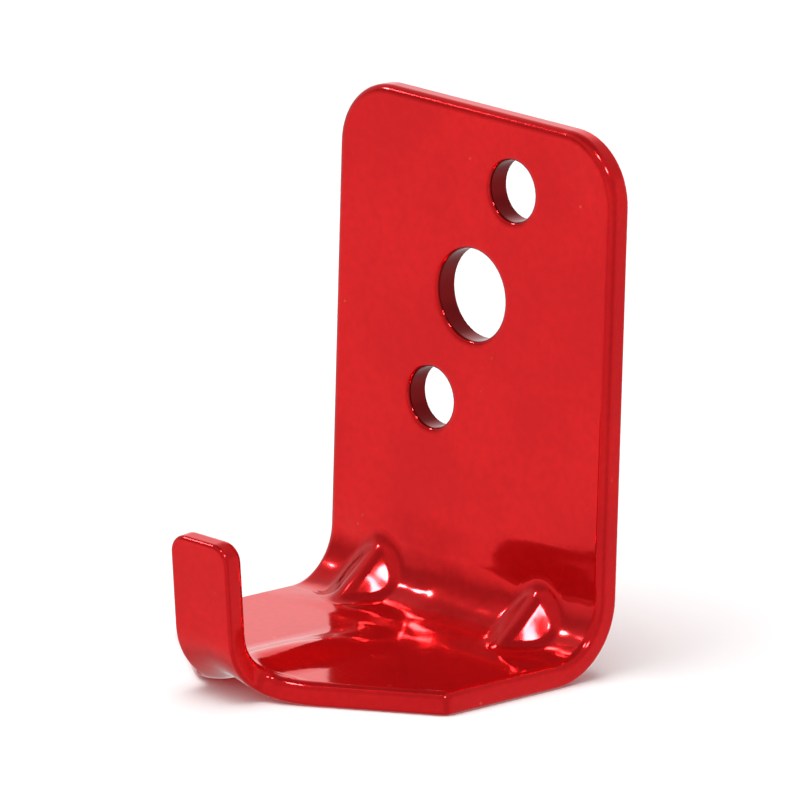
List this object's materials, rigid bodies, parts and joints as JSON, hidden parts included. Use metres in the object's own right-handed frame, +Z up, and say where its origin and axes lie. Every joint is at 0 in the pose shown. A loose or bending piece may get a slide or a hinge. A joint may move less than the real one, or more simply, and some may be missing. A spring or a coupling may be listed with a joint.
{
  "type": "fire extinguisher wall hook",
  "caption": "Red enamelled steel wall hook: back plate with a slanting row of screw holes, gusseted heel, tapering beaded shelf and narrow upturned lip.",
  "frame": {"origin": "centre of the large screw hole, on the wall plane", "axes": "+Z up along the back plate, +Y into the wall, so the hook points along -Y, and +X to the right seen from the front"},
  "size_m": [0.0508, 0.0512, 0.0714],
  "materials": {
    "enamel": "thick high-gloss red enamel on pressed steel"
  },
  "bodies": {
    "root": {"hook_bracket": "enamel"}
  },
  "joints": []
}
